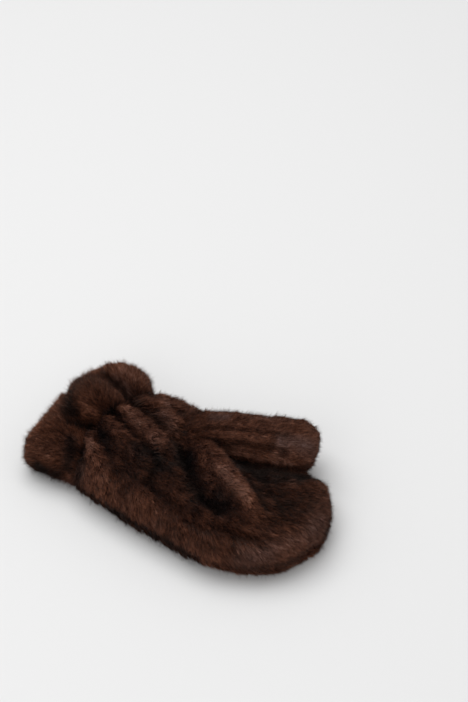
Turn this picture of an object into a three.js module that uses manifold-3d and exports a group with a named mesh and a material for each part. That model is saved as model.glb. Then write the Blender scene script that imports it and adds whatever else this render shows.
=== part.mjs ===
import * as THREE from 'three';
import { mergeVertices } from 'three/addons/utils/BufferGeometryUtils.js';
import Module from 'manifold-3d';

const wasm = await Module();
wasm.setup();

// A left hand's mitten of long brown fur, lying palm up on its back panel.
// Millimetres. +X runs from the cuff to the fingertips, +Y to the thumb's side, and +Z up from the surface.
// The outer faces are the outer form of the fur; each wall is the fur and its leather together.

// Driving dimensions
const SEAM_Z = 20;            // height of the side seam between palm and back
const SEAM_GAP = 0.3;         // clearance between neighbouring pieces
const WALL = 11.5;            // 10 of fur on 1.5 of leather
const THUMB_WALL = 9.5;       // the fur on the thumb is a little shorter
const CUFF_WALL = 13;         // at the hem the fur lies on both sides of the leather
const SAG = 4;                // how far the fur under the mitten is pressed flat
const FULLNESS = 2.5;         // exponent of the sections, 2 is an ellipse
const TIP_FULLNESS = 4;       // the same for the fingertips seen from the side
const THUMB_FULLNESS = 2.6;   // and for the thumb's end
const HAND_START = -96;       // the hand's form runs past the wrist seam and is cut there
const TIP_START = 78;         // where the fingertips begin to round off
const TIP_END = 146;
const THUMB_TIP = 22;         // length over which the thumb's end rounds off
const CUFF_START = -54;
const HEM_ROUND = 9;          // length of the hem's rounded edge
const HOLLOW_MIN = 3;         // least height of the hollow over the side seam
const INNER_FOLDS = 0.3;      // share of the outer folds that the leather inside still shows
const PRESSED_WALL = 0.7;     // least share of a wall's thickness at the bottom of a fold
const ELASTIC_X = -60;
const ELASTIC_WIDTH = 10;
const ELASTIC_THICK = 1.5;
const REACH = 500;            // more than the mitten's size, for the solids that part it

// The fur lies in strips along the hand, each a row of overlapping locks that point away from the wrist.
const STRIP_RISE = 1.1;       // height of a strip's middle over its sides
const LOCK_RISE = 1.7;        // height of a lock's tip over its root
const LOCK_ROWS = 4;          // rows to each lock
const LOCK_SHIFT = [0, 2, 1, 3, 0, 3, 1, 2];

// Points round each form, over its top and under it, and rows along it
const HAND_RING = { over: 28, under: 14 };
const HAND_ROWS = { body: 42, tip: 14 };
const HOLLOW_RING = { over: 16, under: 8 };
const HOLLOW_ROWS = { body: 18, tip: 6 };
const THUMB_RING = { over: 12, under: 8 };
const THUMB_ROWS = 26;
const THUMB_HOLLOW_RING = { over: 6, under: 6 };
const THUMB_HOLLOW_ROWS = 14;
const CUFF_RING = { over: 38, under: 18 };
const CUFF_ROWS = 14;
const HEM_ROWS = 4;
const CUFF_INNER_ROWS = 5;

const FUR_BROWN = 0x3b241b;
const ELASTIC_BLACK = 0x1d1a1b;

// Sections of the hand: middle and half of its width, and the height of the palm's crown.
const HAND = [
  { x: -96, middle: -3, half: 60, crown: 38 },
  { x: -74, middle: -3.5, half: 58, crown: 40 },
  { x: -57, middle: -2.5, half: 63, crown: 43 },
  { x: -36, middle: -1.5, half: 65.5, crown: 44 },
  { x: 0, middle: -3.2, half: 64.5, crown: 46 },
  { x: 40, middle: -5.2, half: 61.8, crown: 46 },
  { x: 78, middle: -1, half: 65.5, crown: 45 },
  { x: 112, middle: 4.5, half: 65.5, crown: 43 },
  { x: 150, middle: 5, half: 65.5, crown: 42 },
];

// Sections of the cuff, from the hem in to the wrist.
const CUFF = [
  { x: -150, middle: 0, half: 68, crown: 38 },
  { x: -128, middle: 0, half: 70, crown: 40 },
  { x: -108, middle: 0, half: 70, crown: 44 },
  { x: -90, middle: -1, half: 67, crown: 43 },
  { x: -74, middle: -4, half: 58, crown: 39 },
  { x: -50, middle: -4, half: 57, crown: 36 },
];

// The hem seen from above, without its rounded edge.
const HEM = [
  { y: -80, x: -106 },
  { y: -58, x: -118 },
  { y: -25, x: -118 },
  { y: 20, x: -125 },
  { y: 52, x: -117 },
  { y: 80, x: -98 },
];

// The seam that joins cuff and hand, seen from above.
const WRIST_SEAM = [
  { x: -58, y: -90 },
  { x: -62, y: -70 },
  { x: -70, y: -48 },
  { x: -80, y: -28 },
  { x: -79, y: 0 },
  { x: -76, y: 30 },
  { x: -72, y: 60 },
  { x: -70, y: 90 },
];

// Folds of the palm: gathers fanning out from the wrist, the raised fold beside the thumb, and the hollows.
const PALM_FOLDS = [
  { rise: 5, reach: 10, path: [[-80, 54], [-50, 52], [-10, 46]] },
  { rise: 7, reach: 10, path: [[-84, 36], [-50, 32], [-24, 26]] },
  { rise: 8, reach: 10, path: [[-84, 15], [-46, 6], [-6, -6]] },
  { rise: 7, reach: 10, path: [[-84, -6], [-49, -17], [-12, -28]] },
  { rise: 5, reach: 10, path: [[-80, -30], [-62, -40], [-36, -46]] },
  { rise: 8, reach: 18, path: [[22, 13], [52, 5], [77, -4], [96, -11]] },
  { rise: 5, reach: 15, path: [[36, 9], [60, 3], [82, -5]] },
  { rise: -10, reach: 13, path: [[2, 4], [26, -13], [48, -26], [70, -31]] },
  { rise: -14, reach: 24, path: [[36, 36], [62, 42], [92, 60]] },
  { rise: -5, reach: 10, path: [[0, -42], [60, -53], [92, -43], [118, -32]] },
  { rise: -4, reach: 12, path: [[-14, 10], [2, 6]] },
];

// Folds of the cuff: three ruffles along the top of the hem, and the creases between them.
const CUFF_FOLDS = [
  { rise: 15, reach: 30, path: [[-108, 6], [-90, 5]] },
  { rise: 11, reach: 22, path: [[-108, 54], [-84, 49]] },
  { rise: 4, reach: 26, path: [[-106, -46], [-84, -50]] },
  { rise: -10, reach: 9, path: [[-134, 6], [-121, 1], [-107, -13], [-92, -20], [-76, -15]] },
  { rise: -10, reach: 8, path: [[-116, 37], [-104, 31], [-78, 28]] },
];

// The thumb's middle line from inside the palm to its end, with half its width and half its height.
const THUMB = [
  { x: -34, y: 24, z: 25, half: 20, height: 16.5 },
  { x: -7, y: 37.5, z: 30.5, half: 22, height: 18.5 },
  { x: 20, y: 51.5, z: 33.5, half: 22.5, height: 18.5 },
  { x: 47, y: 65.5, z: 33.5, half: 22.2, height: 18 },
  { x: 71, y: 79, z: 32.5, half: 22.2, height: 18 },
  { x: 87, y: 88.5, z: 31, half: 22.2, height: 18 },
];

const clamp = THREE.MathUtils.clamp;
const lerp = THREE.MathUtils.lerp;

// One column of a table, read smoothly at a value of another column that rises or falls through the table.
function column(table, key, value, by = 'x') {
  const turn = Math.sign(table[table.length - 1][by] - table[0][by]);
  let i = 0;
  while (i < table.length - 2 && turn * value > turn * table[i + 1][by]) {
    i += 1;
  }
  const slope = (j) => {
    const low = table[Math.max(j - 1, 0)];
    const high = table[Math.min(j + 1, table.length - 1)];
    return (high[key] - low[key]) / (high[by] - low[by]);
  };
  const from = table[i];
  const to = table[i + 1];
  const span = to[by] - from[by];
  const t = clamp((value - from[by]) / span, 0, 1);
  const ease = t * t * (3 - 2 * t);
  const lead = t * (1 - t) * (1 - t) * span * slope(i);
  const trail = t * t * (1 - t) * span * slope(i + 1);
  return lerp(from[key], to[key], ease) + lead - trail;
}

// Distance from a point to a fold's line, seen from above.
function distanceToPath(path, x, y) {
  let nearest = Infinity;
  for (let i = 0; i < path.length - 1; i += 1) {
    const [ax, ay] = path[i];
    const dx = path[i + 1][0] - ax;
    const dy = path[i + 1][1] - ay;
    const t = clamp(((x - ax) * dx + (y - ay) * dy) / (dx * dx + dy * dy), 0, 1);
    nearest = Math.min(nearest, Math.hypot(x - ax - t * dx, y - ay - t * dy));
  }
  return nearest;
}

// How far all the folds of a table lift the surface at a place.
function foldHeight(folds, x, y) {
  let height = 0;
  for (const fold of folds) {
    const away = distanceToPath(fold.path, x, y) / fold.reach;
    if (away < 1) {
      height += fold.rise * (0.5 + 0.5 * Math.cos(Math.PI * away));
    }
  }
  return height;
}

const power = (value) => Math.sign(value) * Math.abs(value) ** (2 / FULLNESS);

// Angles that step evenly along the upper and then the lower half of an oval.
function evenAngles({ over, under }, half, height) {
  const fine = 360;
  const point = (i) => {
    const angle = (Math.PI * i) / fine;
    return [half * power(Math.cos(angle)), height * power(Math.sin(angle))];
  };
  const lengths = [0];
  for (let i = 1; i <= fine; i += 1) {
    const [y, z] = point(i);
    const [oldY, oldZ] = point(i - 1);
    lengths.push(lengths[i - 1] + Math.hypot(y - oldY, z - oldZ));
  }
  const angleAt = (share) => {
    const target = lengths[fine] * share;
    const i = lengths.findIndex((length) => length > target) - 1;
    return (Math.PI * (i + (target - lengths[i]) / (lengths[i + 1] - lengths[i]))) / fine;
  };
  const angles = [];
  for (let k = 0; k < over; k += 1) {
    angles.push(angleAt(k / over));
  }
  for (let k = 0; k < under; k += 1) {
    angles.push(Math.PI + angleAt(k / under));
  }
  return angles;
}

// Height of the fur's locks at one place of the ring and row grid.
function lockHeight(k, row) {
  const strip = Math.floor(k / 2);
  const step = (row + LOCK_SHIFT[strip % LOCK_SHIFT.length]) % LOCK_ROWS;
  return (k % 2) * STRIP_RISE + (step / LOCK_ROWS) * LOCK_RISE;
}

// Raises a ring of points [x, y, z] into locks, outwards in its own Y and Z plane.
function raiseLocks(ring, row, fade) {
  return ring.map(([x, y, z], k) => {
    const before = ring[(k + ring.length - 1) % ring.length];
    const after = ring[(k + 1) % ring.length];
    const out = new THREE.Vector2(after[2] - before[2], before[1] - after[1]).normalize();
    const rise = lockHeight(k, row) * fade;
    return [x, y + out.x * rise, z + out.y * rise];
  });
}

// One point of a lying tube's section: full sides, a crown with its folds, and a pressed underside.
function sectionPoint(table, folds, x, angle, inset, widthScale = 1, heightScale = 1) {
  const c = power(Math.cos(angle));
  const s = power(Math.sin(angle));
  const y = column(table, 'middle', x) + (column(table, 'half', x) - inset) * widthScale * c;
  if (s < 0) {
    const low = SEAM_Z + (SEAM_Z + SAG - inset) * heightScale * s;
    return [x, y, Math.max(low, inset)];
  }
  const crown = column(table, 'crown', x);
  const fold = foldHeight(folds, x, y);
  const foldShare = lerp(1, INNER_FOLDS, clamp(inset / WALL, 0, 1));
  const height = Math.min(crown + fold * foldShare - inset, crown + fold - inset * PRESSED_WALL);
  const top = Math.max(height - SEAM_Z, HOLLOW_MIN);
  return [x, y, SEAM_Z + top * heightScale * s];
}

// Closed solid from rings of equal count, with a middle point closing each end.
function loft(rings) {
  const count = rings[0].length;
  const points = rings.flat();
  const faces = [];
  for (let i = 0; i < rings.length - 1; i += 1) {
    for (let k = 0; k < count; k += 1) {
      const a = i * count + k;
      const b = i * count + ((k + 1) % count);
      faces.push([a, b, b + count], [a, b + count, a + count]);
    }
  }
  for (const last of [false, true]) {
    const ring = rings[last ? rings.length - 1 : 0];
    const base = last ? (rings.length - 1) * count : 0;
    const middle = [0, 1, 2].map((axis) => ring.reduce((sum, p) => sum + p[axis], 0) / count);
    points.push(middle);
    for (let k = 0; k < count; k += 1) {
      const a = base + k;
      const b = base + ((k + 1) % count);
      faces.push(last ? [a, b, points.length - 1] : [b, a, points.length - 1]);
    }
  }
  return solid(points, faces);
}

// Closed solid from rings that follow each other round a hoop and meet again.
function hoop(rings) {
  const count = rings[0].length;
  const faces = [];
  for (let i = 0; i < rings.length; i += 1) {
    for (let k = 0; k < count; k += 1) {
      const next = (i + 1) % rings.length;
      const a = i * count + k;
      const b = i * count + ((k + 1) % count);
      const c = next * count + ((k + 1) % count);
      const d = next * count + k;
      faces.push([a, b, c], [a, c, d]);
    }
  }
  return solid(rings.flat(), faces);
}

// A solid of merged triangles; it is turned inside out if its faces point inwards.
function solid(points, faces) {
  const volume = faces.reduce((sum, [a, b, c]) => {
    const [p, q, r] = [a, b, c].map((i) => new THREE.Vector3(...points[i]));
    return sum + p.dot(q.cross(r));
  }, 0);
  const turned = volume < 0 ? faces.map(([a, b, c]) => [a, c, b]) : faces;
  const mesh = new wasm.Mesh({
    numProp: 3,
    vertProperties: new Float32Array(points.flat()),
    triVerts: new Uint32Array(turned.flat()),
  });
  return new wasm.Manifold(mesh);
}

// A three.js geometry as a solid.
function fromGeometry(geometry) {
  geometry.deleteAttribute('normal');
  geometry.deleteAttribute('uv');
  const merged = mergeVertices(geometry, 1e-4);
  const mesh = new wasm.Mesh({
    numProp: 3,
    vertProperties: new Float32Array(merged.attributes.position.array),
    triVerts: new Uint32Array(merged.index.array),
  });
  return new wasm.Manifold(mesh);
}

// A box over the whole mitten between two heights, to part palm and back.
function slab(low, high) {
  const box = new THREE.BoxGeometry(REACH, REACH, high - low);
  box.translate(0, 0, (low + high) / 2);
  return fromGeometry(box);
}

// The space on the hand's side of the wrist seam, starting a clearance beyond it.
function handSide(clearance) {
  const outline = new THREE.Shape();
  outline.moveTo(REACH, WRIST_SEAM[0].y);
  for (const { x, y } of WRIST_SEAM) {
    outline.lineTo(x + clearance, y);
  }
  outline.lineTo(REACH, WRIST_SEAM[WRIST_SEAM.length - 1].y);
  const prism = new THREE.ExtrudeGeometry(outline, { depth: REACH, bevelEnabled: false });
  prism.translate(0, 0, -REACH / 2);
  return fromGeometry(prism);
}

// The hand's form: its outside at no inset, or its hollow at the wall's inset.
function handForm(inset, ring, rows, locks) {
  const angles = evenAngles(ring, HAND[4].half, SEAM_Z);
  const tipEnd = TIP_END - inset;
  const rings = [];
  for (let row = 0; row < rows.body + rows.tip; row += 1) {
    const past = Math.sin((0.5 * Math.PI * Math.max(row - rows.body, 0)) / rows.tip);
    const along = Math.min(row / rows.body, 1);
    const x = lerp(HAND_START, TIP_START, along) + (tipEnd - TIP_START) * past;
    const wide = Math.sqrt(1 - past * past);
    const high = (1 - past ** TIP_FULLNESS) ** (1 / TIP_FULLNESS);
    const plain = angles.map((angle) => sectionPoint(HAND, PALM_FOLDS, x, angle, inset, wide, high));
    const raised = raiseLocks(plain, row, locks ? wide : 0);
    rings.push(raised.map(([px, py, pz]) => [px, py, Math.max(pz, inset)]));
  }
  return loft(rings);
}

// The thumb's form along its middle line, shrunk by an inset.
function thumbForm(inset, ring, rowCount, locks) {
  const line = new THREE.CatmullRomCurve3(THUMB.map(({ x, y, z }) => new THREE.Vector3(x, y, z)));
  const length = line.getLength() - inset;
  const angles = evenAngles(ring, THUMB[2].half, THUMB[2].height);
  const up = new THREE.Vector3(0, 0, 1);
  const rings = [];
  for (let row = 0; row < rowCount; row += 1) {
    // The rows crowd towards the end, where the form closes quickly.
    const run = (length * (Math.sin((0.5 * Math.PI * row) / rowCount) + row / rowCount)) / 2;
    const place = line.getPointAt(run / line.getLength());
    const forward = line.getTangentAt(run / line.getLength());
    const across = new THREE.Vector3().crossVectors(up, forward).normalize();
    const past = clamp((run - (length - THUMB_TIP)) / THUMB_TIP, 0, 1);
    const shrink = (1 - past ** THUMB_FULLNESS) ** (1 / THUMB_FULLNESS);
    const half = (column(THUMB, 'half', place.x) - inset) * shrink;
    const height = (column(THUMB, 'height', place.x) - inset) * shrink;
    const flat = angles.map((angle) => [0, half * power(Math.cos(angle)), height * power(Math.sin(angle))]);
    const raised = raiseLocks(flat, row, locks ? shrink : 0);
    rings.push(raised.map(([, side, rise]) => place.clone().addScaledVector(across, side)
      .addScaledVector(up, rise).toArray()));
  }
  return loft(rings);
}

// The cuff as a hoop: out along its outside, round the hem, and back along its inside.
function cuffForm() {
  const angles = evenAngles(CUFF_RING, CUFF[2].half, SEAM_Z);
  const hemX = angles.map((angle) => column(HEM, 'x', CUFF[1].half * power(Math.cos(angle)), 'y'));
  const ringAt = (share, beyond, inset) => angles.map((angle, k) => {
    const x = lerp(CUFF_START, hemX[k], share) - beyond;
    return sectionPoint(CUFF, CUFF_FOLDS, x, angle, inset);
  });
  const rings = [];
  for (let row = 0; row <= CUFF_ROWS; row += 1) {
    const raised = raiseLocks(ringAt(row / CUFF_ROWS, 0, 0), row, 1);
    rings.push(raised.map(([x, y, z]) => [x, y, Math.max(z, 0)]));
  }
  for (let row = 1; row < HEM_ROWS; row += 1) {
    const turn = (Math.PI * row) / HEM_ROWS;
    rings.push(ringAt(1, HEM_ROUND * Math.sin(turn), (CUFF_WALL / 2) * (1 - Math.cos(turn))));
  }
  for (let row = CUFF_INNER_ROWS; row >= 0; row -= 1) {
    const share = row / CUFF_INNER_ROWS;
    rings.push(ringAt(share, 0, lerp(WALL, CUFF_WALL, share)));
  }
  return hoop(rings);
}

// The elastic: a flat band that lines the hollow of the wrist all the way round.
function elasticForm() {
  const outside = handForm(WALL + SEAM_GAP, HOLLOW_RING, HOLLOW_ROWS, false);
  const inside = handForm(WALL + SEAM_GAP + ELASTIC_THICK, HOLLOW_RING, HOLLOW_ROWS, false);
  const span = new THREE.BoxGeometry(ELASTIC_WIDTH, REACH, REACH);
  span.translate(ELASTIC_X + ELASTIC_WIDTH / 2, 0, 0);
  return outside.subtract(inside).intersect(fromGeometry(span));
}

function node(name, form, color, roughness) {
  const { vertProperties, triVerts } = form.getMesh();
  const geometry = new THREE.BufferGeometry();
  geometry.setAttribute('position', new THREE.BufferAttribute(vertProperties, 3));
  geometry.setIndex(new THREE.BufferAttribute(triVerts, 1));
  geometry.computeVertexNormals();
  const mesh = new THREE.Mesh(geometry, new THREE.MeshStandardMaterial({ color, roughness, metalness: 0 }));
  mesh.name = name;
  return mesh;
}

const halfGap = SEAM_GAP / 2;
const handHollow = handForm(WALL, HOLLOW_RING, HOLLOW_ROWS, false);
const thumbHollow = thumbForm(THUMB_WALL, THUMB_HOLLOW_RING, THUMB_HOLLOW_ROWS, false);
const handShell = handForm(0, HAND_RING, HAND_ROWS, true).subtract(handHollow).intersect(handSide(halfGap));
const palm = handShell.intersect(slab(SEAM_Z + halfGap, REACH)).subtract(thumbHollow);
const back = handShell.intersect(slab(-REACH, SEAM_Z - halfGap));
const handGrown = handForm(-SEAM_GAP, HAND_RING, HAND_ROWS, true);
const thumb = thumbForm(0, THUMB_RING, THUMB_ROWS, true).subtract(handGrown).subtract(thumbHollow);
const cuff = cuffForm().subtract(handSide(-halfGap));

const mitten = new THREE.Group();
mitten.add(node('palm', palm, FUR_BROWN, 0.85));
mitten.add(node('back', back, FUR_BROWN, 0.85));
mitten.add(node('thumb', thumb, FUR_BROWN, 0.85));
mitten.add(node('cuff', cuff, FUR_BROWN, 0.85));
mitten.add(node('wrist_elastic', elasticForm(), ELASTIC_BLACK, 0.7));

// The origin is on the surface, under the middle of the mitten.
const middle = new THREE.Box3().setFromObject(mitten).getCenter(new THREE.Vector3());
mitten.position.set(-middle.x, -middle.y, 0);

const part = new THREE.Group();
part.add(mitten);

export default part;
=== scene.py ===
import math

import bmesh
import bpy
import numpy as np
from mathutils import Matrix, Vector, noise
from mathutils.bvhtree import BVHTree
from mathutils.kdtree import KDTree


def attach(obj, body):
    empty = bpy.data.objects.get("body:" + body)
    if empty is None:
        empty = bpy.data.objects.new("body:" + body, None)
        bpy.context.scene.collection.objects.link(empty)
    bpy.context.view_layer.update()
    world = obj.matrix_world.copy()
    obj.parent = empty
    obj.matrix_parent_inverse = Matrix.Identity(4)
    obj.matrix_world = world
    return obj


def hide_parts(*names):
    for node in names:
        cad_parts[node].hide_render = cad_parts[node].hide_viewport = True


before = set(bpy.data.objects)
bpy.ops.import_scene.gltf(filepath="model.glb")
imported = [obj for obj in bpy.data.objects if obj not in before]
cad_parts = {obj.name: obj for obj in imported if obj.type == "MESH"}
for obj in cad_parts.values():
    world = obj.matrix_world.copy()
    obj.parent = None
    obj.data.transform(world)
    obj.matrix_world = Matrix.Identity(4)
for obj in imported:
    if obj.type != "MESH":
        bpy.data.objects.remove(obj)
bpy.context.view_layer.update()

# The skins under the fur: panels of thin suede, cut with the hair on and sewn edge to edge.
# Their hair side is nearly black with dense underfur, and their inner side is bare brown suede.
# The palm, the back, the thumb and the cuff have a skin each.

MM = 0.001
MERGE = 0.005 * MM           # corners of a panel this near each other are one
HOLLOW_MIDDLE = -18 * MM     # middle line of the hollow of hand and cuff
HOLLOW_HALF = 40 * MM        # from that line to the sides of the hollow's flat middle
HOLLOW_HEIGHT = 21 * MM      # over the surface that the mitten lies on
HOLLOW_TIP = 95 * MM         # where the hollow's flat middle ends at the fingertips
THUMB_ROOT = np.array([-40, 9, 25]) * MM
THUMB_TIP = np.array([64, 64, 32]) * MM
SEAM_TOUCH = 1.0 * MM        # thumb faces this near the palm are its sewn edge
UNDERFUR_DEPTH = 4.5 * MM    # how far the underfur lies below the outer form of the fur
SKIN_HEIGHT = 1.0 * MM       # least height of the underfur over the surface below
FACING = 0.2                 # how squarely a face looks away from the hollow to carry fur
HEM_FACING = 0.4             # how squarely a face of the cuff looks out of its mouth to do so
RELIEF_ROUNDS = 14           # rounds of smoothing that take the folds out of the form
NORMAL_ROUNDS = 3            # rounds of smoothing that even out the way the hair stands
SUEDE_BROWN = (0.20, 0.115, 0.07, 1)
SUEDE_DARK = (0.11, 0.06, 0.036, 1)
SCUFFS = {"scale": 60, "detail": 6}
SUEDE_NAP = {"scale": 1400, "detail": 3}
UNDERFUR_BLACK = (0.010, 0.006, 0.005, 1)
WOOL = {"scale": 900, "detail": 4}


def unit(vectors):
    """The same directions, one metre long."""
    length = np.linalg.norm(vectors, axis=-1, keepdims=True)
    return vectors / np.maximum(length, 1e-9)


def hand_core(points):
    """The nearest point of the flat middle of the hollow of hand and cuff."""
    core = points.copy()
    core[:, 0] = np.minimum(points[:, 0], HOLLOW_TIP)
    core[:, 1] = np.clip(points[:, 1], HOLLOW_MIDDLE - HOLLOW_HALF, HOLLOW_MIDDLE + HOLLOW_HALF)
    core[:, 2] = HOLLOW_HEIGHT
    return core


def thumb_core(points):
    """The nearest point of the thumb's middle line."""
    line = THUMB_TIP - THUMB_ROOT
    share = np.clip((points - THUMB_ROOT) @ line / (line @ line), 0, 1)
    return THUMB_ROOT + share[:, None] * line


def merged(node):
    """A copy of a panel's form with its shared corners merged."""
    bm = bmesh.new()
    bm.from_mesh(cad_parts[node].data)
    bmesh.ops.remove_doubles(bm, verts=bm.verts, dist=MERGE)
    bm.verts.index_update()
    return bm


def off_the_palm(centres):
    """Which faces of the thumb lie clear of the palm, outside the seam."""
    bm = merged("palm")
    palm = BVHTree.FromBMesh(bm)
    bm.free()
    return np.array([palm.find_nearest(Vector(centre))[3] > SEAM_TOUCH for centre in centres])


def spread(values, pairs, held, rounds):
    """Averages values between neighbouring points a number of times, with some points held."""
    count = np.bincount(pairs.ravel(), minlength=len(values)).astype(float)[:, None]
    for _ in range(rounds):
        total = np.zeros_like(values)
        np.add.at(total, pairs[:, 0], values[pairs[:, 1]])
        np.add.at(total, pairs[:, 1], values[pairs[:, 0]])
        mean = total / np.maximum(count, 1)
        values = np.where(held[:, None] | (count == 0), values, mean)
    return values


def read_panel(node, core):
    """The form of a panel: its points and faces, which faces carry fur, normals and relief."""
    bm = merged(node)
    points = np.array([v.co for v in bm.verts])
    faces = np.array([[v.index for v in f.verts] for f in bm.faces])
    bm.free()
    corners = points[faces]
    cross = np.cross(corners[:, 1] - corners[:, 0], corners[:, 2] - corners[:, 0])
    area = np.linalg.norm(cross, axis=1) / 2
    normal = unit(cross)
    centre = corners.mean(axis=1)
    facing = (normal * unit(centre - core(centre))).sum(axis=1)
    outer = facing > FACING
    inner = facing < -FACING
    if node == "cuff":
        hem = normal[:, 0] < -HEM_FACING
        outer = outer | hem
        inner = inner & ~hem
    if node == "thumb":
        apart = off_the_palm(centre)
        outer = outer & apart
        inner = inner & apart
    carried = faces[outer]
    pairs = np.concatenate([carried[:, [0, 1]], carried[:, [1, 2]], carried[:, [2, 0]]])
    pairs, uses = np.unique(np.sort(pairs, axis=1), axis=0, return_counts=True)
    rim = np.zeros(len(points), bool)
    rim[pairs[uses == 1].ravel()] = True
    normals = np.zeros_like(points)
    for corner in range(3):
        np.add.at(normals, carried[:, corner], cross[outer])
    loose = np.zeros(len(points), bool)
    normals = unit(spread(unit(normals), pairs, loose, NORMAL_ROUNDS))
    smooth = spread(points, pairs, rim, RELIEF_ROUNDS)
    relief = ((points - smooth) * normals).sum(axis=1)
    return {
        "points": points, "faces": faces, "area": area, "outer": outer, "inner": inner,
        "normals": normals, "face_normals": normal, "centre": centre, "relief": relief,
    }


def finish(name):
    """A new material, with its nodes, its links and its shader."""
    material = bpy.data.materials.new(name)
    material.use_nodes = True
    nodes, links = material.node_tree.nodes, material.node_tree.links
    return material, nodes, links, nodes["Principled BSDF"]


def clouds(nodes, links, scale, detail, shift=0.0):
    """An uneven pattern that is fixed to the piece, and may be shifted along it."""
    place = nodes.new("ShaderNodeTexCoord")
    moved = nodes.new("ShaderNodeMapping")
    moved.inputs["Location"].default_value = (shift, shift, 0)
    pattern = nodes.new("ShaderNodeTexNoise")
    pattern.inputs["Scale"].default_value = scale
    pattern.inputs["Detail"].default_value = detail
    links.new(place.outputs["Object"], moved.inputs["Vector"])
    links.new(moved.outputs["Vector"], pattern.inputs["Vector"])
    return pattern.outputs["Fac"]


def colour_mix(nodes, links, blend, factor, first, second):
    """One colour mixed with another or multiplied by it. Each is a colour or another node's."""
    mix = nodes.new("ShaderNodeMix")
    mix.data_type = "RGBA"
    mix.blend_type = blend
    for name, value in (("Factor", factor), ("A", first), ("B", second)):
        if isinstance(value, (int, tuple)):
            mix.inputs[name].default_value = value
        else:
            links.new(value, mix.inputs[name])
    return mix.outputs["Result"]


def raised(nodes, links, shader, pattern, strength, height):
    """Raises the surface by a pattern."""
    bump = nodes.new("ShaderNodeBump")
    bump.inputs["Strength"].default_value = strength
    bump.inputs["Distance"].default_value = height
    links.new(pattern, bump.inputs["Height"])
    links.new(bump.outputs["Normal"], shader.inputs["Normal"])


def suede_material():
    """Brown suede with a short nap and pale scuffs."""
    material, nodes, links, shader = finish("suede")
    scuffs = clouds(nodes, links, **SCUFFS)
    tint = colour_mix(nodes, links, "MIX", scuffs, SUEDE_DARK, SUEDE_BROWN)
    links.new(tint, shader.inputs["Base Color"])
    nap = clouds(nodes, links, **SUEDE_NAP)
    raised(nodes, links, shader, nap, strength=0.5, height=0.4 * MM)
    shader.inputs["Roughness"].default_value = 0.92
    shader.inputs["Sheen Weight"].default_value = 0.15
    return material


def underfur_material():
    """Dense woolly underfur, nearly black, lumpy where it mats."""
    material, nodes, links, shader = finish("underfur")
    wool = clouds(nodes, links, **WOOL)
    raised(nodes, links, shader, wool, strength=0.8, height=0.8 * MM)
    shader.inputs["Base Color"].default_value = UNDERFUR_BLACK
    shader.inputs["Roughness"].default_value = 1.0
    shader.inputs["Specular IOR Level"].default_value = 0.05
    return material


SUEDE = suede_material()
UNDERFUR = underfur_material()


def skin(node, panel):
    """The skin of one panel: its fur side drawn in below the hair, its inner side as cut."""
    bm = merged(node)
    carried = np.zeros(len(panel["points"]), bool)
    carried[panel["faces"][panel["outer"]].ravel()] = True
    for vert in bm.verts:
        if carried[vert.index]:
            vert.co -= Vector(panel["normals"][vert.index]) * UNDERFUR_DEPTH
            vert.co.z = max(vert.co.z, SKIN_HEIGHT)
    for face, bare in zip(bm.faces, panel["inner"]):
        face.material_index = 0 if bare else 1
        face.smooth = True
    mesh = bpy.data.meshes.new(node + "_skin")
    bm.to_mesh(mesh)
    bm.free()
    mesh.materials.append(SUEDE)
    mesh.materials.append(UNDERFUR)
    piece = bpy.data.objects.new(node + "_skin", mesh)
    bpy.context.scene.collection.objects.link(piece)
    rounding = piece.modifiers.new("rounding", "SUBSURF")
    rounding.levels = 1
    rounding.render_levels = 1
    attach(piece, "root")
    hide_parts(node)
    return piece


panels = {node: read_panel(node, hand_core) for node in ("palm", "back", "cuff")}
panels["thumb"] = read_panel("thumb", thumb_core)
for node, panel in panels.items():
    skin(node, panel)

# The fur of the back panel, which the mitten lies on: fine dark brown hairs 10 to 14 mm long, that
# grow out of the skin and lie towards the fingertips. Each hair is a thin tapered blade, dark at its
# root by its own colour and by painted shade, and the hairs stand in small locks whose tips lean
# together.

DRIFT_SEED = 7
BACK_HAIRS = 42000
HAND_COAT = {
    "depth": 7 * MM,      # from the outer form down to the hair's root
    "lean": 9 * MM,       # how far the hair runs along the nap
    "rise": 0.4 * MM,     # how far the tip stands out of the outer form
    "stray": 0.9 * MM,    # how far a tip strays from its place
    "width": 0.52 * MM,
    "locks": 14,          # hairs to a lock
    "gather": 0.32,       # how far the tips of a lock lean together
    "folds": 0.30,        # share by which the fur deepens the folds of the skin
    "tone": 0.0,
    "guard": 0.07,        # share of long thin dark hairs that stand out of the coat
}
RISE_SPREAD = (0.2, 1.5)     # shares of that rise that the tips have
GUARD_RISE = (1.4 * MM, 5.3 * MM)
GUARD_LEAN = 0.35            # share of the coat's lean that a guard hair has
GUARD_WIDTH = 0.65
GUARD_TONE = -0.22
TUFT = 4                     # guard hairs to a tuft
TUFT_GATHER = 0.5
ROOT_LEAN = 0.55             # share of the lean behind the hair's place
TIP_LEAN = 0.45              # share of the lean before it
BEND = {                     # the middle of a hair, as shares of what its root or its tip has
    "depth": 0.25, "lean": 0.05, "stray": 0.35, "gather": 0.4, "width": 0.9,
}
HALF_WIDTH = 65 * MM         # from the middle line to the sides, where the nap fans out most
FAN = 0.75                   # how far it fans out there
DROOP = 0.45                 # how far it runs down there
SWIRL_REACH = 14 * MM        # over which the nap drifts
SWIRL = 0.55
LOCK_TURN = 0.14             # how far a lock turns from the nap
HAIR_TURN = 0.10             # how far a single hair does
LOCK_LENGTH = 0.12           # how much the locks differ in length
HAIR_LENGTH = 0.08
MOTTLE_REACH = 7 * MM        # over which the coat is mottled
MOTTLE_TONE = 0.15
FOLD_LIMIT = (-4 * MM, 4 * MM)
FOLD_LIGHT_AND_SHADE = 0.06 / MM        # how much lighter painted light makes the crest of a fold, and painted shade darker its crease
LOCK_TONE = 0.07             # how much the locks differ in tone
HAIR_TONE = 0.065
MIDDLE_TONE = 0.42
UPPER = (-0.1, 0.4)          # slopes between which a line of the upper side fades in
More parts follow.
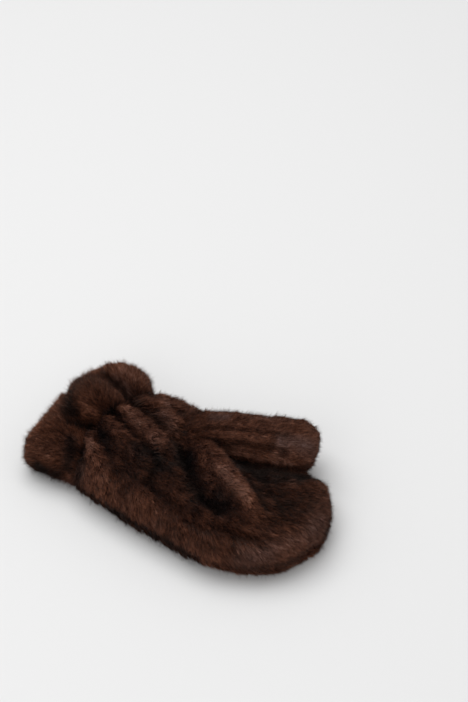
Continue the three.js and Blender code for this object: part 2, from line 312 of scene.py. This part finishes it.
TWIST = 1.1                  # radians that a blade turns out of the coat's plane, at most
BED = 0.3 * MM               # least height over the surface that the mitten lies on
BED_SPREAD = 1.0 * MM
ALONG = [0, 0, 0.55, 0.55, 1]                # where the five points of a blade lie, root to tip
BLADE_CORNERS = [0, 1, 3, 2, 2, 3, 4]        # its long face of four corners and its tip of three
BLADE_FACES = [0, 4]                         # where each face starts among the corners
BLADE_SQUARE = np.array([[0.2, 0.1], [0.8, 0.1], [0.2, 0.5], [0.8, 0.5], [0.5, 0.9]])
TONES = [                    # colour of the hair's outer half, from the darkest hair to the palest
    (0.00, (0.003, 0.0014, 0.0010, 1)),
    (0.30, (0.020, 0.0075, 0.0043, 1)),
    (0.55, (0.068, 0.0255, 0.0140, 1)),
    (0.80, (0.185, 0.082, 0.052, 1)),
    (1.00, (0.350, 0.195, 0.145, 1)),
]
ROOT_COLOUR_AND_SHADE = [               # how much of that colour shows from root to tip: the root is darker by its own colour and by painted shade
    (0.00, (0.10, 0.09, 0.09, 1)),
    (0.55, (0.55, 0.52, 0.50, 1)),
    (0.90, (1.00, 1.00, 1.00, 1)),
]
WARM = (1.15, 0.95, 0.80, 1)     # what rusty hair multiplies its colour by
GREY_AND_SHEEN = (0.92, 1.05, 1.30, 1)     # what greyer hair and the painted sheen multiply its colour by
PATCH = 0.35                 # how grey the random patches are at most, where no line adds painted sheen
PATCH_EDGE = (0.42, 0.68)    # strengths of the pattern between which a patch fades in
PATCH_DETAIL = 3
ROUGHNESS = (0.42, 0.68)     # of the glossiest and the dullest hairs
GLOSS = 0.24
GLOSS_TINT = (1.0, 0.80, 0.70, 1)
SHEEN = 0.03
SHEEN_ROUGHNESS = 0.4
SHEEN_TINT = (0.75, 0.72, 0.85, 1)

noise.seed_set(DRIFT_SEED)


def ramp(nodes, stops):
    """Colours that run into each other from stop to stop."""
    node = nodes.new("ShaderNodeValToRGB")
    elements = node.color_ramp.elements
    for index, (position, color) in enumerate(stops):
        element = elements[index] if index < len(elements) else elements.new(position)
        element.position = position
        element.color = color
    return node


def fur_material(name, patch_scale, patch_shift):
    """Glossy fur in patches of rust and of grey brown, darker at the root, with painted light, shade and
    sheen.
    """
    material, nodes, links, shader = finish(name)
    # the root is darker by its own colour and by painted shade; painted light makes the folds paler, and
    # painted sheen makes hair greyer
    hair = nodes.new("ShaderNodeAttribute")
    hair.attribute_name = "hair"
    parts = nodes.new("ShaderNodeSeparateColor")
    tones = ramp(nodes, TONES)
    roots = ramp(nodes, ROOT_COLOUR_AND_SHADE)
    patches = nodes.new("ShaderNodeMapRange")
    patches.inputs["From Min"].default_value = PATCH_EDGE[0]
    patches.inputs["From Max"].default_value = PATCH_EDGE[1]
    patches.inputs["To Max"].default_value = PATCH
    painted_sheen = nodes.new("ShaderNodeAttribute")
    painted_sheen.attribute_name = "painted_sheen"
    grey_and_sheen = nodes.new("ShaderNodeMath")
    grey_and_sheen.operation = "ADD"
    grey_and_sheen.use_clamp = True
    gloss = nodes.new("ShaderNodeMapRange")
    gloss.inputs["To Min"].default_value = ROUGHNESS[0]
    gloss.inputs["To Max"].default_value = ROUGHNESS[1]
    pattern = clouds(nodes, links, patch_scale, PATCH_DETAIL, patch_shift)
    links.new(hair.outputs["Color"], parts.inputs["Color"])
    links.new(parts.outputs["Red"], roots.inputs["Fac"])
    links.new(parts.outputs["Green"], tones.inputs["Fac"])
    links.new(parts.outputs["Blue"], gloss.inputs["Value"])
    links.new(pattern, patches.inputs["Value"])
    links.new(patches.outputs["Result"], grey_and_sheen.inputs[0])
    links.new(painted_sheen.outputs["Fac"], grey_and_sheen.inputs[1])
    hue = colour_mix(nodes, links, "MIX", grey_and_sheen.outputs["Value"], WARM, GREY_AND_SHEEN)
    shade = colour_mix(nodes, links, "MULTIPLY", 1, tones.outputs["Color"], roots.outputs["Color"])
    tint = colour_mix(nodes, links, "MULTIPLY", 1, shade, hue)
    links.new(tint, shader.inputs["Base Color"])
    links.new(gloss.outputs["Result"], shader.inputs["Roughness"])
    shader.inputs["Specular IOR Level"].default_value = GLOSS
    shader.inputs["Specular Tint"].default_value = GLOSS_TINT
    shader.inputs["Sheen Weight"].default_value = SHEEN
    shader.inputs["Sheen Roughness"].default_value = SHEEN_ROUGHNESS
    shader.inputs["Sheen Tint"].default_value = SHEEN_TINT
    return material


def locks_of(places, spacing):
    """For each hair, the hair in the middle of the lock that it belongs to."""
    middles = np.arange(0, len(places), spacing)
    tree = KDTree(len(middles))
    for middle in middles:
        tree.insert(places[middle], int(middle))
    tree.balance()
    return np.array([tree.find(place)[1] for place in places])


def drift(places, lock, reach, seed):
    """Smooth random vectors that change over a reach, one for each lock."""
    middles, member = np.unique(lock, return_inverse=True)
    start = Vector((seed, 0, 0))
    values = [noise.noise_vector(Vector(place) / reach + start) for place in places[middles]]
    return np.array(values)[member]


def along_lines(lines, places, out):
    """How far lines drawn in plan lift the coat, how much painted light and shade pale it, how much
    painted sheen greys it.

    They act on the upper side, and the low ones on the side turned down.
    """
    lift, tone, painted_sheen = np.zeros((3, len(places)))
    upper = np.clip((out[:, 2] - UPPER[0]) / (UPPER[1] - UPPER[0]), 0, 1)
    for line in lines:
        stops = np.array(line["path"]) * MM
        nearest = np.full(len(places), np.inf)
        for start, end in zip(stops[:-1], stops[1:]):
            way = end - start
            share = np.clip((places[:, :2] - start) @ way / (way @ way), 0, 1)
            gap = places[:, :2] - start - share[:, None] * way
            nearest = np.minimum(nearest, np.hypot(gap[:, 0], gap[:, 1]))
        fade = 0.5 + 0.5 * np.cos(np.pi * np.minimum(nearest / (line["reach"] * MM), 1))
        fade = fade * (1 - upper if line.get("low") else upper)
        lift += line.get("lift", 0) * MM * fade
        tone += line.get("tone", 0) * fade
        painted_sheen += line.get("painted_sheen", 0) * fade
    return lift, tone, painted_sheen


def blades(name, points, hair, painted_sheen):
    """The blades of a coat as one mesh, with a square of the colour map to each."""
    count, ends = points.shape[:2]
    blade = np.arange(count)
    corners = blade[:, None] * ends + BLADE_CORNERS
    faces = blade[:, None] * len(BLADE_CORNERS) + BLADE_FACES
    mesh = bpy.data.meshes.new(name)
    mesh.vertices.add(count * ends)
    mesh.vertices.foreach_set("co", points.astype(np.float32).ravel())
    mesh.loops.add(corners.size)
    mesh.loops.foreach_set("vertex_index", corners.astype(np.int32).ravel())
    mesh.polygons.add(faces.size)
    mesh.polygons.foreach_set("loop_start", faces.astype(np.int32).ravel())
    mesh.update(calc_edges=True)
    mesh.polygons.foreach_set("use_smooth", np.ones(faces.size, bool))
    colors = mesh.attributes.new("hair", "FLOAT_COLOR", "POINT")
    colors.data.foreach_set("color", hair.astype(np.float32).ravel())
    sheen_layer = mesh.attributes.new("painted_sheen", "FLOAT", "POINT")
    sheen_layer.data.foreach_set("value", np.repeat(painted_sheen, ends).astype(np.float32))
    side = math.ceil(math.sqrt(count))
    square = np.stack([blade % side, blade // side], axis=1)[:, None, :]
    spots = (square + BLADE_SQUARE[BLADE_CORNERS]) / side
    baked = mesh.uv_layers.new(name="OFBake")
    baked.data.foreach_set("uv", spots.astype(np.float32).ravel())
    return mesh


def scattered(rng, panel, count, faces):
    """Random places on the outer side of a panel, or on some of its faces.

    With each place comes the way that the skin looks there, and the relief of its folds.
    """
    chosen = np.flatnonzero(panel["outer"] if faces is None else faces)
    weight = panel["area"][chosen]
    face = rng.choice(chosen, count, p=weight / weight.sum())
    share = rng.dirichlet((1, 1, 1), count)
    corners = panel["faces"][face]
    place = (panel["points"][corners] * share[:, :, None]).sum(axis=1)
    if faces is None:
        out = unit((panel["normals"][corners] * share[:, :, None]).sum(axis=1))
        relief = np.clip((panel["relief"][corners] * share).sum(axis=1), *FOLD_LIMIT)
    else:
        out = panel["face_normals"][face]
        relief = np.zeros(count)
    return place, out, relief


def fur(name, panel, count, coat, nap, lines, seed, faces=None):
    """Grows a coat of hair out of a panel, lying along nap, as the mesh of one piece."""
    rng = np.random.default_rng(seed)
    place, out, relief = scattered(rng, panel, count, faces)
    # the lines lift the coat, and paint light, shade and sheen on it
    lift, painted_light_and_shade, painted_sheen = along_lines(lines, place, out)
    place = place + out * (relief * coat["folds"] + lift)[:, None]
    lock = locks_of(place, coat["locks"])

    along = nap(place, out) + drift(place, lock, SWIRL_REACH, seed) * SWIRL
    along = along + rng.normal(0, LOCK_TURN, (count, 3))[lock] + rng.normal(0, HAIR_TURN, (count, 3))
    along = unit(along - out * (along * out).sum(axis=1)[:, None])
    length = 1 + rng.normal(0, LOCK_LENGTH, count)[lock] + rng.normal(0, HAIR_LENGTH, count)
    guard = rng.random(count) < coat["guard"]
    rise = coat["rise"] * rng.uniform(*RISE_SPREAD, count) + guard * rng.uniform(*GUARD_RISE, count)
    stray = rng.normal(0, 1, (count, 3)) * coat["stray"]
    lean = along * coat["lean"] * length[:, None] * np.where(guard, GUARD_LEAN, 1)[:, None]

    root = place - out * coat["depth"] - lean * ROOT_LEAN
    middle = place - out * coat["depth"] * BEND["depth"] - lean * BEND["lean"] + stray * BEND["stray"]
    tip = place + out * rise[:, None] + lean * TIP_LEAN + stray
    tip = tip + (tip[lock] - tip) * coat["gather"] * (~guard)[:, None]
    guards = np.flatnonzero(guard)
    tuft = guards[locks_of(place[guards], TUFT)]
    tip[guards] += (tip[tuft] - tip[guards]) * TUFT_GATHER
    middle = middle + (middle[lock] - middle) * coat["gather"] * BEND["gather"]

    run = unit(tip - root)
    across = unit(np.cross(run, out))
    turn = rng.uniform(-TWIST, TWIST, count)[:, None]
    across = across * np.cos(turn) + np.cross(run, across) * np.sin(turn)
    half = across * (coat["width"] / 2 * np.where(guard, GUARD_WIDTH, 1))[:, None]
    bend = half * BEND["width"]
    points = np.stack([root - half, root + half, middle - bend, middle + bend, tip], axis=1)
    points[:, :, 2] = np.maximum(points[:, :, 2], BED + rng.uniform(0, BED_SPREAD, (count, 1)))

    # the relief of the folds paints light on their crests and shade in their creases
    shade = MIDDLE_TONE + coat["tone"] + relief * FOLD_LIGHT_AND_SHADE + painted_light_and_shade
    shade = shade + drift(place, lock, MOTTLE_REACH, seed + 0.5)[:, 0] * MOTTLE_TONE
    shade = shade + rng.normal(0, LOCK_TONE, count)[lock] + rng.normal(0, HAIR_TONE, count)
    hair = np.ones((count, len(ALONG), 4))
    hair[:, :, 0] = ALONG
    hair[:, :, 1] = np.clip(shade + guard * GUARD_TONE, 0, 1)[:, None]
    hair[:, :, 2] = rng.random(count)[:, None]
    return blades(name, points, hair, painted_sheen)


def show_fur(node, mesh, material):
    """Lays one coat of hair on its panel."""
    mesh.materials.append(material)
    piece = bpy.data.objects.new(mesh.name, mesh)
    bpy.context.scene.collection.objects.link(piece)
    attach(piece, "root")
    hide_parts(node)
    return piece


def hand_nap(places, out):
    """Towards the fingertips, fanning out and down at the sides."""
    side = np.clip((places[:, 1] - HOLLOW_MIDDLE) / HALF_WIDTH, -1, 1)
    fan = side * np.abs(side)
    return np.stack([np.ones(len(places)), fan * FAN, -np.abs(fan) * DROOP], axis=1)


BACK_LINES = [
    # the edge that is turned down, in plan, in millimetres, with painted shade where it turns under
    {"path": [(-84, -80), (-50, -84), (-25, -84)], "reach": 16, "lift": -1, "tone": -0.3,
     "low": True},
    {"path": [(-25, -84), (20, -84), (62, -80)], "reach": 12, "lift": 1, "tone": -0.3, "low": True},
    {"path": [(62, -80), (84, -77), (94, -73)], "reach": 13, "lift": -1.5, "low": True},
    {"path": [(134, -32), (139, -16)], "reach": 11, "lift": -3, "low": True},
]
back_fur = fur_material("back_fur", patch_scale=22, patch_shift=3.0)
back_hair = fur("back_fur", panels["back"], BACK_HAIRS, HAND_COAT, hand_nap, BACK_LINES, seed=11)
show_fur("back", back_hair, back_fur)

# The fur of the palm panel, the same coat on a skin gathered into folds at the wrist. Painted light
# makes the hair pale and pinkish on the crests of the folds, and painted shade makes it almost black in
# the hollow of the palm and between them.
# Fine guard hairs lie over it.

PALM_HAIRS = 62000
PALM_GUARD_HAIRS = 44000
GUARD_COAT = {
    **HAND_COAT, "depth": 3 * MM, "lean": 11 * MM, "width": 0.34 * MM, "stray": 1.1 * MM,
    "rise": 0.7 * MM, "locks": 8, "guard": 0.45,
}
PALM_LINES = [
    *BACK_LINES,
    # the grooves between the gathers, darkened with painted shade
    {"path": [(-84, -7), (-67, -17), (-39, -26), (-14, -31)], "reach": 4, "lift": -1, "tone": -0.10},
    {"path": [(-80, 12), (-58, 7), (-35, 1), (-14, -4)], "reach": 4, "lift": -1, "tone": -0.10},
    {"path": [(-80, 28), (-62, 18), (-40, 12)], "reach": 4, "lift": -1, "tone": -0.06},
    {"path": [(-76, -34), (-64, -45), (-49, -58), (-36, -64)], "reach": 7, "lift": -1, "tone": -0.26},
    # the crests of the gathers, paler with painted light and two with painted sheen, and painted shade
    # where they run out
    {"path": [(-78, -4), (-59, -14), (-42, -19), (-22, -22)], "reach": 9, "tone": 0.24},
    {"path": [(-46, -34), (-25, -43), (-8, -46)], "reach": 11, "tone": -0.16},
    {"path": [(-70, 31), (-50, 24)], "reach": 9, "lift": 1, "tone": 0.26, "painted_sheen": 0.4},
    {"path": [(-70, 8), (-44, 0)], "reach": 8, "tone": 0.12},
    {"path": [(-46, 12), (-28, 3)], "reach": 9, "tone": 0.12, "painted_sheen": 0.6},
    {"path": [(-36, 0), (-24, -4)], "reach": 7, "tone": 0.12},
    {"path": [(-10, -20), (6, -26)], "reach": 8, "tone": -0.16},
    {"path": [(-38, 4), (-18, -2)], "reach": 7, "tone": 0.14},
    {"path": [(-14, -13), (4, -15)], "reach": 8, "tone": -0.22},
    # the near side of the wrist, with painted light above its crease with the cuff, and painted shade
    # and sheen in the crease
    {"path": [(-88, -50), (-72, -54)], "reach": 10, "tone": 0.26},
    {"path": [(-72, -56), (-60, -65), (-44, -72)], "reach": 8, "tone": 0.10},
    {"path": [(-82, -58), (-76, -66), (-66, -78)], "reach": 8, "lift": -2, "tone": -0.28, "painted_sheen": 1},
    # the fold beside the thumb: painted light on its crest, painted shade at its foot, and the painted
    # shadow of the thumb in the dark hollow behind it
    {"path": [(42, -16), (58, -21), (72, -26), (82, -29)], "reach": 8, "lift": 1, "tone": 0.26},
    {"path": [(46, -30), (64, -37), (88, -42)], "reach": 9, "tone": -0.16},
    {"path": [(20, 10), (34, 4), (50, -5), (66, -11), (80, -16), (96, -24)], "reach": 7, "lift": -4,
     "tone": -0.42},
    {"path": [(46, 9), (72, 9), (88, 24), (96, 46)], "reach": 16, "lift": -3, "tone": -0.44},
    {"path": [(60, 24), (82, 34), (96, 48)], "reach": 9, "tone": -0.24},
    # the hollow of the palm, darkened with painted shade, with painted light on one ridge
    {"path": [(-34, -34), (-4, -28), (10, -16)], "reach": 16, "tone": -0.18},
    {"path": [(-24, -38), (6, -40), (36, -46), (48, -55)], "reach": 13, "tone": -0.28},
    {"path": [(14, -16), (30, -22), (47, -32)], "reach": 9, "tone": 0.14},
    {"path": [(-16, -58), (30, -62), (70, -64)], "reach": 16, "tone": -0.10},
    {"path": [(-24, 36), (-6, 44), (8, 52)], "reach": 8, "lift": -2.5},
    {"path": [(24, -34), (48, -40), (70, -46)], "reach": 14, "tone": -0.06},
    # the fingers and the edge round them, with painted shade, and painted light and sheen near the
    # fingertips
    {"path": [(94, -2), (112, -8), (112, 20)], "reach": 22, "tone": -0.14},
    {"path": [(76, -54), (92, -58)], "reach": 9, "lift": -1, "tone": -0.16},
    {"path": [(-28, -60), (-14, -74)], "reach": 14, "tone": -0.14},
    {"path": [(118, 40), (130, 22), (134, 4)], "reach": 9, "lift": -1.5},
    {"path": [(26, -78), (72, -75), (98, -66)], "reach": 10, "tone": -0.12},
    {"path": [(102, -68), (112, -60), (120, -50)], "reach": 11, "tone": 0.06, "painted_sheen": 0.7},
    {"path": [(126, -40), (134, -20), (133, 5)], "reach": 11, "tone": 0.08, "painted_sheen": 0.5},
]
palm_fur = fur_material("palm_fur", patch_scale=26, patch_shift=7.0)
palm_hair = fur("palm_fur", panels["palm"], PALM_HAIRS, HAND_COAT, hand_nap, PALM_LINES, seed=12)
show_fur("palm", palm_hair, palm_fur)
palm_guard_hair = fur("palm_guard_hair", panels["palm"], PALM_GUARD_HAIRS, GUARD_COAT, hand_nap,
                      PALM_LINES, seed=22)
show_fur("palm", palm_guard_hair, palm_fur)

# The fur of the thumb: a tube of skin, closed at its end and set into the palm. Its hair is combed
# straight to the end, in three strips with shallow grooves between them.

THUMB_HAIRS = 46000
THUMB_GUARD_HAIRS = 14000
THUMB_COAT = {**HAND_COAT, "depth": 6 * MM}
THUMB_LINES = [
    # painted shade in the grooves between the strips, painted light on the middle strip and on the near
    # side below, and painted sheen in two patches
    {"path": [(-4, 17), (25, 33), (41, 42), (64, 56)], "reach": 3.5, "lift": -1.5, "tone": -0.18},
    {"path": [(-6, 5), (25, 21), (42, 29), (64, 41)], "reach": 3.5, "lift": -1.5, "tone": -0.18},
    {"path": [(10, 2), (40, 19), (66, 34)], "reach": 8, "lift": 0.5, "tone": 0.12},
    {"path": [(60, 46), (78, 58)], "reach": 14, "tone": 0.08, "painted_sheen": 0.9},
    {"path": [(-4, 30), (4, 36)], "reach": 8, "tone": 0.04, "painted_sheen": 1},
    {"path": [(-24, 36), (-6, 45), (12, 54), (30, 62)], "reach": 8, "lift": -2.5},
    {"path": [(81, 70), (86, 58)], "reach": 11, "lift": -3, "low": True},
    {"path": [(28, 14), (54, 31), (74, 42)], "reach": 9, "tone": 0.3, "low": True},
]


def thumb_nap(places, out):
    """Along the thumb to its end."""
    return np.repeat(unit(THUMB_TIP - THUMB_ROOT)[None, :], len(places), axis=0)


thumb_fur = fur_material("thumb_fur", patch_scale=26, patch_shift=12.0)
thumb_hair = fur("thumb_fur", panels["thumb"], THUMB_HAIRS, THUMB_COAT, thumb_nap, THUMB_LINES,
                 seed=13)
show_fur("thumb", thumb_hair, thumb_fur)
thumb_guard_hair = fur("thumb_guard_hair", panels["thumb"], THUMB_GUARD_HAIRS, GUARD_COAT, thumb_nap,
                       THUMB_LINES, seed=23)
show_fur("thumb", thumb_guard_hair, thumb_fur)

# The fur of the cuff: a wide band of skin, ruffled by the gathered wrist, its hair standing out to the
# hem and turned in over it. It is rusty at the rim, and painted shade makes it black in the creases
# between the ruffles.

CUFF_HAIRS = 60000
CUFF_GUARD_HAIRS = 26000
LINING_HAIRS = 6000
CUFF_COAT = {**HAND_COAT, "lean": 5 * MM, "depth": 8 * MM, "rise": 0.8 * MM, "folds": 0.05}
CUFF_GUARD_COAT = {**GUARD_COAT, "lean": 6 * MM, "rise": 1.5 * MM, "folds": 0.05}
LINING_COAT = {**HAND_COAT, "lean": 5 * MM, "depth": 4 * MM, "tone": -0.05}
HEM_TURN = -108 * MM         # the fur is turned in over the hem as far as this
CUFF_FLARE = 0.8             # how far the nap fans out at the sides
CUFF_STAND = 0.15            # how far it stands up
CUFF_LINES = [
    # the ruffles' tops at the hem
    {"path": [(-132, -22), (-129, -34), (-128, -44)], "reach": 11, "lift": 3.2},
    {"path": [(-137, -13), (-135, 0), (-132, 22), (-126, 32)], "reach": 11, "lift": 3.5},
    {"path": [(-104, 47), (-92, 45), (-82, 38)], "reach": 11, "lift": 2.5, "tone": 0.04},
    # the creases between them, and their shaded sides, darkened with painted shade
    {"path": [(-127, -22), (-116, -36), (-103, -45), (-92, -39), (-82, -32)], "reach": 7, "lift": -2,
     "tone": -0.34},
    {"path": [(-134, -8), (-124, 6)], "reach": 15, "tone": -0.22},
    {"path": [(-122, -14), (-112, -2)], "reach": 13, "tone": -0.14},
    # painted light and painted sheen on their crests, and painted shade beside them
    {"path": [(-112, 19), (-98, 18), (-86, 16), (-74, 12)], "reach": 8, "lift": 1, "tone": 0.10,
     "painted_sheen": 0.8},
    {"path": [(-112, 34), (-96, 32)], "reach": 12, "tone": 0.14},
    {"path": [(-90, -50), (-78, -53)], "reach": 10, "tone": 0.26},
    {"path": [(-90, -58), (-84, -66), (-78, -80)], "reach": 9, "lift": -2, "tone": -0.26, "painted_sheen": 1},
    {"path": [(-128, -66), (-133, -40), (-138, 0), (-134, 30), (-118, 56)], "reach": 9, "tone": 0.14},
    {"path": [(-104, -30), (-88, -26)], "reach": 8, "tone": 0.24},
    {"path": [(-114, -16), (-101, -12)], "reach": 10, "tone": -0.12},
    # the edge that is turned down, darkened with painted shade
    {"path": [(-128, -70), (-114, -80), (-102, -84)], "reach": 11, "lift": -0.5, "tone": -0.3,
     "low": True},
    {"path": [(-104, -84), (-88, -82)], "reach": 12, "lift": -1.5, "tone": -0.3, "low": True},
]


def cuff_nap(places, out):
    """From the wrist out to the hem and sideways, and up on the top of the ruffles."""
    side = np.clip((places[:, 1] - HOLLOW_MIDDLE) / HALF_WIDTH, -1, 1)
    return np.stack([-np.ones(len(places)), side * CUFF_FLARE, np.full(len(places), CUFF_STAND)], axis=1)


def lining_nap(places, out):
    """In from the hem to the wrist."""
    return np.repeat(np.array([[1.0, 0.0, 0.0]]), len(places), axis=0)


cuff_fur = fur_material("cuff_fur", patch_scale=24, patch_shift=17.0)
cuff_hair = fur("cuff_fur", panels["cuff"], CUFF_HAIRS, CUFF_COAT, cuff_nap, CUFF_LINES, seed=14)
show_fur("cuff", cuff_hair, cuff_fur)
cuff_guard_hair = fur("cuff_guard_hair", panels["cuff"], CUFF_GUARD_HAIRS, CUFF_GUARD_COAT, cuff_nap,
                      CUFF_LINES, seed=24)
show_fur("cuff", cuff_guard_hair, cuff_fur)
turned_in = panels["cuff"]["inner"] & (panels["cuff"]["centre"][:, 0] < HEM_TURN)
lining_hair = fur("cuff_turned_in_fur", panels["cuff"], LINING_HAIRS, LINING_COAT, lining_nap,
                  lines=[], seed=15, faces=turned_in)
show_fur("cuff", lining_hair, cuff_fur)

# The elastic: a flat black band with fine ribs, sewn stretched to the inside of the wrist. It draws
# the skins in there and makes their gathers.

ELASTIC_BLACK = (0.012, 0.011, 0.012, 1)
ELASTIC_RIB = 1.2 * MM
RIB_UNIT = 0.314             # spacing of the ribs, in metres, at a scale of one


def elastic_material():
    """Black elastic with fine ribs round the wrist."""
    material, nodes, links, shader = finish("elastic")
    place = nodes.new("ShaderNodeTexCoord")
    ribs = nodes.new("ShaderNodeTexWave")
    ribs.wave_type = "BANDS"
    ribs.bands_direction = "X"
    ribs.inputs["Scale"].default_value = RIB_UNIT / ELASTIC_RIB
    links.new(place.outputs["Object"], ribs.inputs["Vector"])
    raised(nodes, links, shader, ribs.outputs["Fac"], strength=0.8, height=0.3 * MM)
    shader.inputs["Base Color"].default_value = ELASTIC_BLACK
    shader.inputs["Roughness"].default_value = 0.8
    return material


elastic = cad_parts["wrist_elastic"]
elastic.data.materials.clear()
elastic.data.materials.append(elastic_material())

# The floor, the lights and the camera: a plain pale floor under soft studio light, seen from the
# fingertips' near side and from above.

FLOOR_SIZE = 6.0
FLOOR_WHITE = (0.72, 0.72, 0.72, 1)
FLOOR_ROUGHNESS = 0.9
LIGHTS = [
    {"name": "overhead", "at": (-0.6, 0.1, 2.2), "size": 2.2, "watts": 36},
    {"name": "side", "at": (0.5, -2.1, 1.3), "size": 1.6, "watts": 12},
]
STUDIO_WHITE = (1, 1, 1, 1)
STUDIO_STRENGTH = 0.60
CAMERA_PLACE = Vector((786.8, -950.2, 1265.4)) * MM
CAMERA_AIM = Vector((-78.4, 157.3, 0)) * MM
CAMERA_VIEW = math.radians(20)     # over the height of the picture

bm = bmesh.new()
bmesh.ops.create_grid(bm, x_segments=1, y_segments=1, size=FLOOR_SIZE / 2)
floor_mesh = bpy.data.meshes.new("floor")
bm.to_mesh(floor_mesh)
bm.free()
floor = bpy.data.objects.new("floor", floor_mesh)
bpy.context.scene.collection.objects.link(floor)
floor_paint, _, _, floor_shader = finish("floor")
floor_shader.inputs["Base Color"].default_value = FLOOR_WHITE
floor_shader.inputs["Roughness"].default_value = FLOOR_ROUGHNESS
floor_mesh.materials.append(floor_paint)

for lamp in LIGHTS:
    data = bpy.data.lights.new(lamp["name"], "AREA")
    data.shape = "SQUARE"
    data.size = lamp["size"]
    data.energy = lamp["watts"]
    light = bpy.data.objects.new(lamp["name"], data)
    bpy.context.scene.collection.objects.link(light)
    light.location = lamp["at"]
    light.rotation_euler = (-light.location).to_track_quat("-Z", "Y").to_euler()

world = bpy.data.worlds.new("studio")
world.use_nodes = True
world.node_tree.nodes["Background"].inputs["Color"].default_value = STUDIO_WHITE
world.node_tree.nodes["Background"].inputs["Strength"].default_value = STUDIO_STRENGTH
bpy.context.scene.world = world
bpy.context.scene.view_settings.view_transform = "Standard"

camera_data = bpy.data.cameras.new("camera")
camera_data.lens = camera_data.sensor_width / 2 / math.tan(CAMERA_VIEW / 2)
camera = bpy.data.objects.new("camera", camera_data)
bpy.context.scene.collection.objects.link(camera)
camera.location = CAMERA_PLACE
camera.rotation_euler = (CAMERA_AIM - CAMERA_PLACE).to_track_quat("-Z", "Y").to_euler()
bpy.context.scene.camera = camera
